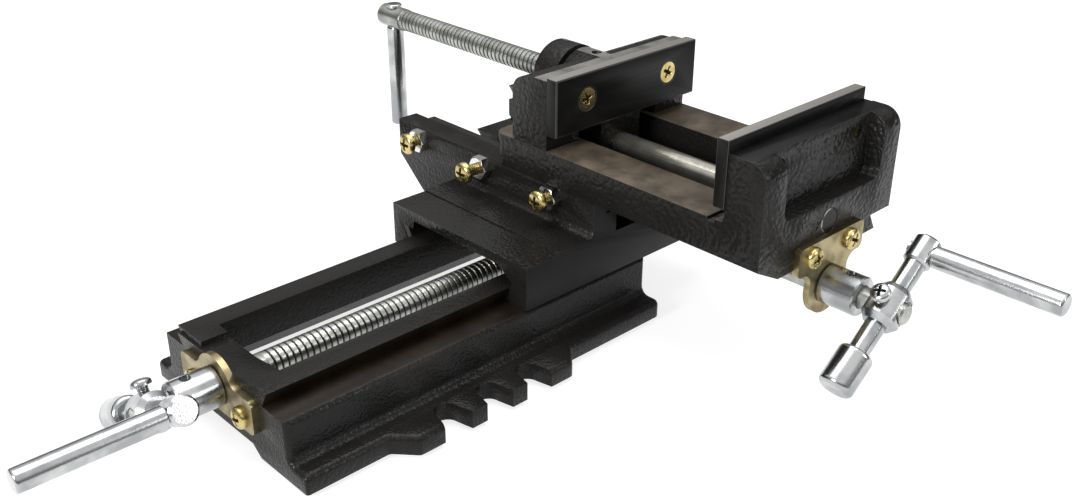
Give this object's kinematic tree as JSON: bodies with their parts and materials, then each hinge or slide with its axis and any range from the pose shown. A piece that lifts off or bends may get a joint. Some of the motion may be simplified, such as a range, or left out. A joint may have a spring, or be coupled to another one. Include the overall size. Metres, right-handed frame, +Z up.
{
  "type": "cross slide vise",
  "caption": "Cross slide vise: cast base with dovetail rails, saddle, sliding vise body, plated cranks, leadscrews and steel jaws.",
  "frame": {"origin": "middle of the base casting's underside", "axes": "+X along the base's rails, away from the lower crank; +Y along the vise body's ways, away from the upper crank; +Z up, square to the underside"},
  "size_m": [0.3686, 0.4184, 0.126],
  "materials": {
    "black_enamel": "glossy black enamel over rough cast iron",
    "yellow_zinc": "golden zinc plating on steel",
    "bright_zinc": "bright zinc plating on turned steel",
    "ground_steel": "ground steel",
    "dark_steel": "black oxide steel",
    "bronze": "turned bronze",
    "black_steel": "blackened steel plate with fine grinding marks"
  },
  "bodies": {
    "base": {"base_casting": "black_enamel", "lower_bracket": "yellow_zinc", "lower_bracket_screws": "yellow_zinc"},
    "lower_screw": {"lower_leadscrew": "bright_zinc", "lower_collar": "bright_zinc", "lower_collar_grub_screw": "dark_steel", "lower_crank_arm": "bright_zinc", "lower_crank_grip": "bright_zinc", "lower_crank_set_screw": "bright_zinc"},
    "saddle": {"saddle_casting": "black_enamel", "lower_gib": "ground_steel", "lower_gib_screws": "yellow_zinc", "lower_gib_nuts": "bright_zinc", "upper_gib": "ground_steel", "upper_gib_screws": "yellow_zinc", "upper_gib_nuts": "bright_zinc", "lower_nut": "bronze", "lower_nut_screws": "bright_zinc", "cross_nut": "bronze", "cross_nut_screws": "bright_zinc"},
    "vise": {"vise_body": "black_enamel", "upper_bracket": "yellow_zinc", "upper_bracket_screws": "yellow_zinc", "fixed_jaw_plate": "black_steel", "fixed_jaw_plate_screws": "yellow_zinc", "guide_rod": "ground_steel"},
    "cross_screw": {"cross_leadscrew": "bright_zinc", "upper_collar": "bright_zinc", "upper_collar_grub_screw": "dark_steel", "upper_crank_arm": "bright_zinc", "upper_crank_grip": "bright_zinc", "upper_crank_set_screw": "bright_zinc"},
    "jaw": {"moving_jaw": "black_enamel", "moving_jaw_plate": "black_steel", "moving_jaw_plate_screws": "yellow_zinc", "jaw_retaining_screw": "dark_steel"},
    "clamp": {"clamp_screw": "bright_zinc", "clamp_handle": "bright_zinc"}
  },
  "joints": [
    {"name": "saddle_slide", "type": "slide", "parent": "base", "child": "saddle", "axis": [1, 0, 0], "range_m": [-0.118, 0.004]},
    {"name": "lower_screw_turn", "type": "hinge", "parent": "base", "child": "lower_screw", "pos_m": [-0.1, 0, 0.0248], "axis": [1, 0, 0], "range_deg": [-456, 13384]},
    {"name": "body_slide", "type": "slide", "parent": "saddle", "child": "vise", "axis": [0, 1, 0], "range_m": [0, 0.09]},
    {"name": "cross_screw_turn", "type": "hinge", "parent": "vise", "child": "cross_screw", "pos_m": [0.116, -0.15, 0.0495], "axis": [0, 1, 0], "range_deg": [-3, 10208]},
    {"name": "jaw_slide", "type": "slide", "parent": "vise", "child": "jaw", "axis": [0, 1, 0], "range_m": [-0.0575, 0]},
    {"name": "clamp_screw_turn", "type": "hinge", "parent": "jaw", "child": "clamp", "pos_m": [0.116, 0.02, 0.106], "axis": [0, 1, 0], "range_deg": [-6525, 3]}
  ],
  "couplings": [
    {"joint": "lower_screw_turn", "follows": "saddle_slide", "rad_per_m": -1979},
    {"joint": "cross_screw_turn", "follows": "body_slide", "rad_per_m": 1979},
    {"joint": "clamp_screw_turn", "follows": "jaw_slide", "rad_per_m": 1979}
  ]
}
